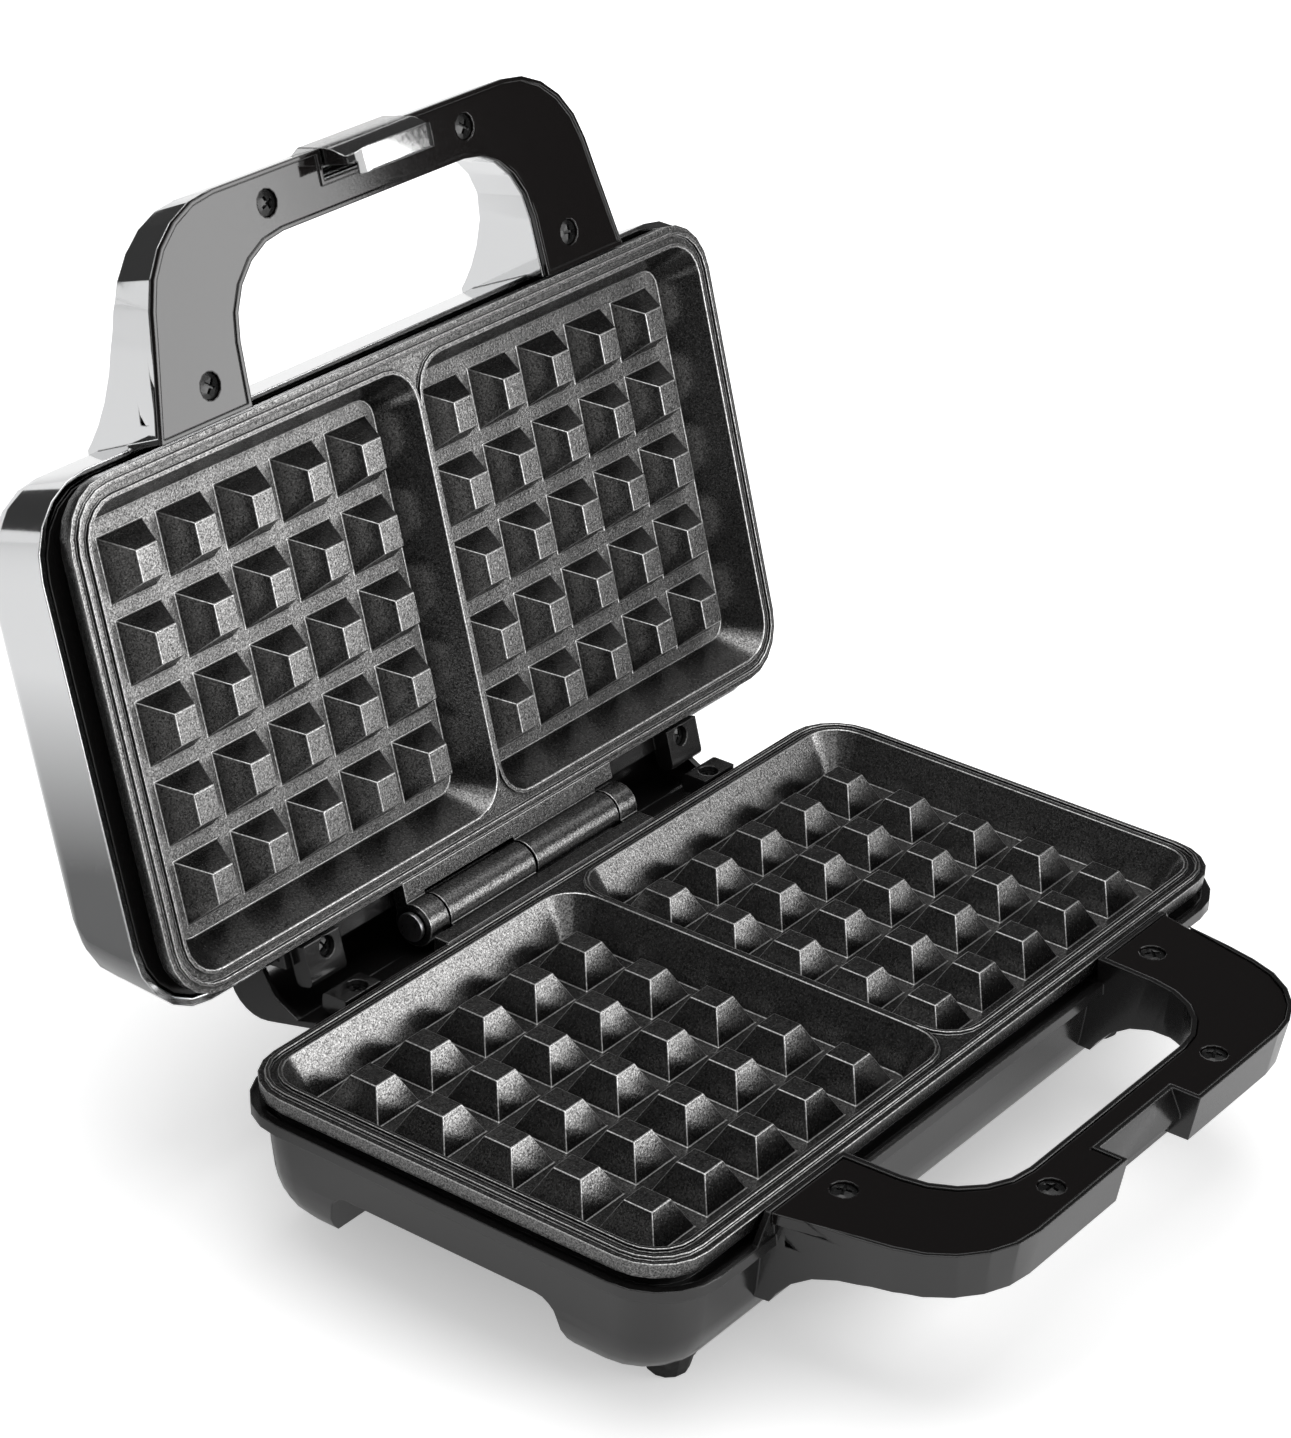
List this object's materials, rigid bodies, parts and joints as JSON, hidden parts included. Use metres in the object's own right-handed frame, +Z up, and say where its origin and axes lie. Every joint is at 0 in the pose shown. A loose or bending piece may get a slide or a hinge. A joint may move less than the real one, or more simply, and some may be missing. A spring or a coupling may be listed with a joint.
{
  "type": "waffle maker",
  "caption": "Tabletop waffle maker with two deep studded pockets, a polished hinged lid held open on its stop, carry-style handles and a sprung front latch.",
  "frame": {"origin": "on the table under the middle of the box of the open waffle maker", "axes": "+Z up, X along the hinge, handles towards -Y"},
  "size_m": [0.235, 0.2416, 0.2167],
  "materials": {
    "casing_black": "satin moulded black plastic",
    "cover_black": "glossy black inlay",
    "polished_steel": "mirror polished steel",
    "bright_plating": "bright chrome plating on moulded plastic",
    "non_stick": "speckled dark grey non-stick coating on cast aluminium",
    "steel": "plain steel",
    "bright_sheet": "bright aluminised sheet",
    "rubber": "matt black rubber",
    "ceramic": "cream ceramic and moulded insulation",
    "red_lens": "clear red plastic",
    "green_lens": "clear green plastic"
  },
  "bodies": {
    "base": {"base_casing": "casing_black", "base_handle_cover": "cover_black", "base_plate": "non_stick", "base_element": "steel", "base_reflector": "bright_sheet", "base_element_clamp_left": "bright_sheet", "base_element_clamp_right": "bright_sheet", "thermal_cutout": "ceramic", "terminal_block": "ceramic", "cord_gland": "rubber", "hinge_pin": "steel", "front_foot_left": "rubber", "front_foot_right": "rubber", "rear_foot_left": "rubber", "rear_foot_right": "rubber"},
    "lid": {"lid_shell": "bright_plating", "lid_frame": "casing_black", "lid_handle_cover": "cover_black", "lid_plate": "non_stick", "lid_element": "steel", "lid_reflector": "bright_sheet", "lid_element_clamp_left": "bright_sheet", "lid_element_clamp_right": "bright_sheet", "thermostat": "ceramic", "power_lens": "red_lens", "ready_lens": "green_lens", "latch_pin": "steel"},
    "latch": {"latch": "polished_steel"}
  },
  "joints": [
    {"name": "lid_hinge", "type": "hinge", "parent": "base", "child": "lid", "pos_m": [0, 0.0565, 0.0445], "axis": [1, 0, 0], "range_deg": [0, 105.9]},
    {"name": "latch_hinge", "type": "hinge", "parent": "lid", "child": "latch", "pos_m": [0, 0.11137, 0.20938], "axis": [-1, 0, 0], "range_deg": [0, 15], "stiffness_Nm_per_rad": 0.02, "springref_deg": -34.38}
  ]
}
